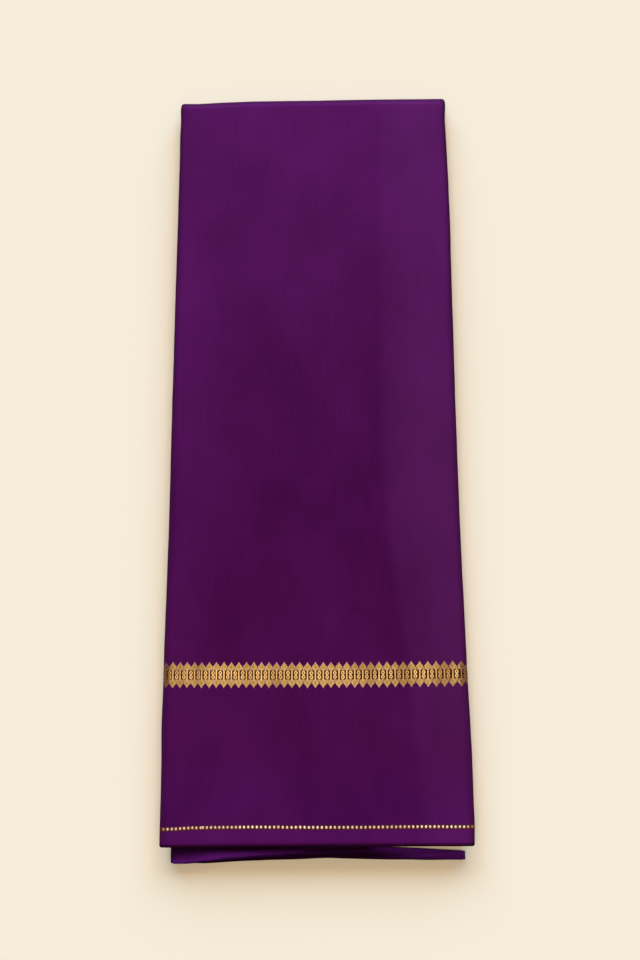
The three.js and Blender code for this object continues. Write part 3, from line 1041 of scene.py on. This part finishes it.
def dot_line():
    """Low domes in a row; their numbers are looked up for their real places."""
    def to_place(x):
        number = np.round(x / DOT_STEP)
        return np.interp(number, DOT_NUMBER, DOT_PLACE) - number * DOT_STEP

    points = []
    for share, level in DOT_RINGS:
        ring = oval(0, 0, DOT_SIZE[0] * share, DOT_SIZE[1] * share, DOT_SIDES)
        points += [(x, v, level) for x, v in ring]
    last = len(points) - DOT_SIDES
    faces = tube_faces(len(DOT_RINGS), DOT_SIDES, end=False)
    faces += [(last + i, last + (i + 1) % DOT_SIDES, len(points)) for i in range(DOT_SIDES)]
    points.append((0, 0, DOT_TOP))
    dots = repeated("zari_dots", (points, faces), ZARI_DOT, Count=DOT_COUNT, First=0,
                    Step=(DOT_STEP, 0, 0), Growth=0.0, Sway=DOT_SWAY, Seed=DOT_SEED)
    shift_chart(dots, to_place)
    return lay_on_band(dots, DOT_X, DOT_Y)


def woven_strip(name, ranges, level, line_x, line_y, material):
    """Thin woven strips along a line of the face, each from one distance to another."""
    across = np.linspace(-STRIP_HALF_LENGTH, STRIP_HALF_LENGTH, STRIP_COLUMNS)
    columns = len(across)
    chart, faces = [], []
    for strip, (low, high) in enumerate(ranges):
        start = strip * 4 * columns
        rows = ((low, -0.05), (low, level), (high, level), (high, -0.05))
        chart += [(x, v, z) for v, z in rows for x in across]
        sheets = grid_faces(len(rows), columns)
        sheets += [(i, i + 3 * columns, i + 3 * columns + 1, i + 1) for i in range(columns - 1)]
        sheets += [(0, columns, 2 * columns, 3 * columns),
                   (columns - 1, 4 * columns - 1, 3 * columns - 1, 2 * columns - 1)]
        faces += [tuple(start + i for i in face) for face in sheets]
    piece = new_piece(name, np.array(chart) / MM, faces, material)
    lay_on_band(piece, line_x, line_y)
    return face_outwards(piece)


# ------------------------------------------------------------------ stacks of hems
def side_inset(height):
    """How far a ply at one height stays inside the widest line, within the turned side."""
    _, inset, level = PROFILE["right"]
    rolled = np.interp(-height, -level[:-1], inset[:-1]) + 0.55
    return np.where(height > HALF - DROP_OUT - DROP_BACK, rolled, 1.0)


def ply_shape(thick):
    """One flat ply: x and depth from 0 to 1, its near edge rounded, with closed ends."""
    shares = np.linspace(0, 1, PLY_SEGMENTS + 1)
    points = [(x, depth, thick * z) for x in shares for depth, z in PLY_EDGE]
    return points, tube_faces(len(shares), len(PLY_EDGE))


def ply_stack(name, plies, pitch, material, lay, thick=0.36):
    """A stack of plies; lay gives each point's real place and how dark its painted shade is."""
    piece = repeated(name, ply_shape(thick), material, Count=plies, First=0,
                     Step=(0, 0, pitch), Growth=0.0, Sway=(0.0, 0.0, 0.0), Seed=PLY_SEED)
    flat = mesh_points(piece.data)
    ply = np.clip(np.round(flat[:, 2] / pitch), 0, plies - 1)
    within = flat[:, 2] - ply * pitch
    real, dark = lay(ply, flat[:, 0], flat[:, 1], within)
    give_uv(piece.data, np.stack((real[:, 0] * MM, (real[:, 1] + 3 * ply) * MM), axis=-1))
    give_shade(piece.data, np.zeros(len(dark)), dark)
    set_points(piece.data, real)
    return face_outwards(piece)


def ends_rounded(x, start, end, radius=1.1):
    """How far an edge is drawn back near its two ends."""
    short = np.clip(radius - np.minimum(x - start, end - x), 0, radius)
    return radius - np.sqrt(np.maximum(radius ** 2 - 0.92 * short ** 2, 0))


def streaks(x, y):
    """Faint streaks of shade that run along a hem and rise a little to the right."""
    strength = 0.11 * (1 + 0.6 * sway(x, (67, 0.9), (29, 2.1)))
    return strength * sway(y - 0.055 * x, (3.1, 0.4), (4.9, 2.0))


def lay_front_hem(ply, share, depth, within):
    """Ply 0 lies on the middle plane; the plies come forward under the outer ply's nose."""
    height = 0.45 + LOOP * ply
    inset = side_inset(height) + 0.14 * np.sin(2.3 * ply)
    left = -side_width("left", FRONT_HEM + 6, 0.0) + inset
    right = side_width("right", FRONT_HEM + 6, 0.0) - inset
    x = left + (right - left) * share
    unevenness = sway(x, (71, 0.9), (31, 2.2)) * np.sin(ply + 1)
    back = 0.30 + 0.16 * np.sin(2.1 * ply + 0.8) + 0.10 * unevenness
    back = back + np.where(height < 5, 0.10 * (5 - height), 0)
    edge = np.interp(x, HEM_X, HEM_Y) + back + ends_rounded(x, left, right)
    y = edge + 14 * depth
    z = HALF + height + within + (face_rise(x, y) + hem_swell(y)) * smooth(height, 0, 3)
    nose = np.interp(x, HEM_X, NOSE_LENGTH)
    droop = -0.8 * NOSE_DROP * np.clip(1 - (y - edge) / nose, 0, 1) ** 2 * smooth(height, 3.2, 7.2)
    # All the front hem's plies carry half-strength painted shade, for the shade under the outer
    # ply's nose.
    return np.stack((x, y, z + droop), axis=-1), np.full(x.shape, 0.5)


def lay_back_hem(ply, share, depth, within):
    """Plies of the lower half; on the left they come out under the front hem."""
    height = HALF - (BACK_BOTTOM + 0.25) - LOOP * ply
    z = HALF - height
    left = BACK_LEFT + 0.16 * np.sin(1.9 * ply + 0.5)
    right = side_width("right", BACK_HEM, math.pi) - side_inset(height) + 0.2 * np.sin(2.7 * ply)
    x = left + (right - left) * share
    top_down = BACK_HEM_PLIES - 1 - ply
    out = np.where(top_down < 4, 0.28 * top_down, 1.12 - 0.5 * (top_down - 4))
    out = np.where(top_down == 0, 0, out) * smooth(x, 60, -20)
    edge = NEAR_END + np.interp(x, BACK_EDGE_X, BACK_EDGE) - out
    edge = edge + 0.12 * sway(x, (53, 1.0), (23, 0.4))
    edge = np.maximum(edge, NEAR_END + 0.05) + ends_rounded(x, left, right)
    y = edge + (BACK_HEM + 13 - edge) * depth
    wave = 0.06 * sway(x, (64, 0.3), (37, 1.9)) * np.sin(ply + 0.4)
    sag = -0.5 * np.clip(1 - (y - edge) / 3.5, 0, 1) ** 2 * smooth(z, 5.5, 7.6)
    # Painted shade: dark in the slot under the front hem, by the left end and on the lower plies
    # towards the right, with faint streaks.
    slot = smooth(y, -292.2 + 4.4 * smooth(x, -96, -66), -283.4)
    by_end = 0.7 * (1 - smooth(x, -101, -91)) * smooth(y, -292.5, -287)
    dark = np.maximum(np.maximum(slot, by_end), 1 - smooth(x, left + 0.2, left + 1.4))
    dark = np.maximum(dark, 0.75 * (top_down > 0) * smooth(x, -95, -80)) + streaks(x, y)
    return np.stack((x, y, z + within + wave + sag), axis=-1), dark


def lay_under_hem(ply, share, depth, within):
    """The selvedge that lies lowest; on the right it stands clear of the pile."""
    left, right = UNDER_LEFT + 0.12 * ply, UNDER_RIGHT - 0.12 * ply
    x = left + (right - left) * share
    rounded = ends_rounded(x, left, right, 0.5)
    near = NEAR_END + np.interp(x, UNDER_EDGE_X, UNDER_EDGE) + rounded
    near = near + 0.34 * ply * smooth(x, -100, -60)
    near = near + 0.10 * sway(x, (59, 0.2), (31, 1.3)) + 0.1
    far = SPRING_Y + SPRING_SLOPE * np.maximum(0, x - SPRING_X) - rounded - 0.12 * ply
    y = near + (far - near) * depth
    # Painted shadow: dark where the pile overhangs it and lighter only on the right where it stands
    # clear, darker still in the slot and on the lower plies.
    dark = 0.97 - 0.47 * smooth(x + 5 * (y - near), 48, 92)
    slot = smooth(y, -286.6, -283.6) * (1 - smooth(x, 30, 70))
    below = ply < UNDER_HEM_PLIES - 1
    dark = np.maximum(np.maximum(dark, slot), 0.75 * below) + streaks(x, y)
    return np.stack((x, y, 0.24 + UNDER_PITCH * ply + within), axis=-1), dark


# ------------------------------------------------------------------ putting it together
camera_and_light()
lay_floor()

outer = outer_ply()
folds = pleat_folds()
front_hem = ply_stack("front_hem_plies", FRONT_HEM_PLIES, LOOP, SILK_HEM, lay_front_hem)
back_hem = ply_stack("back_hem_plies", BACK_HEM_PLIES, LOOP, SILK_HEM, lay_back_hem)
under_hem = ply_stack("under_hem_plies", UNDER_HEM_PLIES, UNDER_PITCH, SILK_HEM, lay_under_hem,
                      thick=0.44)
band, chain, teeth, spots = temple_band()
band_ground = woven_strip("zari_band_ground", [(-CHAIN_HALF, CHAIN_HALF)], 0.05, BAND_X, BAND_Y,
                          ZARI_GROUND)
band_rails = woven_strip("zari_band_rails", [(-RAIL_OUT, -CHAIN_HALF), (CHAIN_HALF, RAIL_OUT)],
                         0.06, BAND_X, BAND_Y, ZARI_LINK)
dots = dot_line()
dot_ground = woven_strip("zari_dot_ground", [(-DOT_GROUND_HALF, DOT_GROUND_HALF)], 0.04, DOT_X,
                         DOT_Y, ZARI_DOT_GROUND)

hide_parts("front_panel", "under_panel")
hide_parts("folded_plies")
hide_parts("back_hem")
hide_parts("under_hem")
for pieces, slot in (
    ((outer,), "silk_face"),
    ((folds,), "silk_inner"),
    ((front_hem, back_hem, under_hem), "silk_hem"),
    ((band, chain, teeth, spots, band_ground, band_rails, dots, dot_ground), "zari"),
):
    for piece in pieces:
        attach(piece, "root")
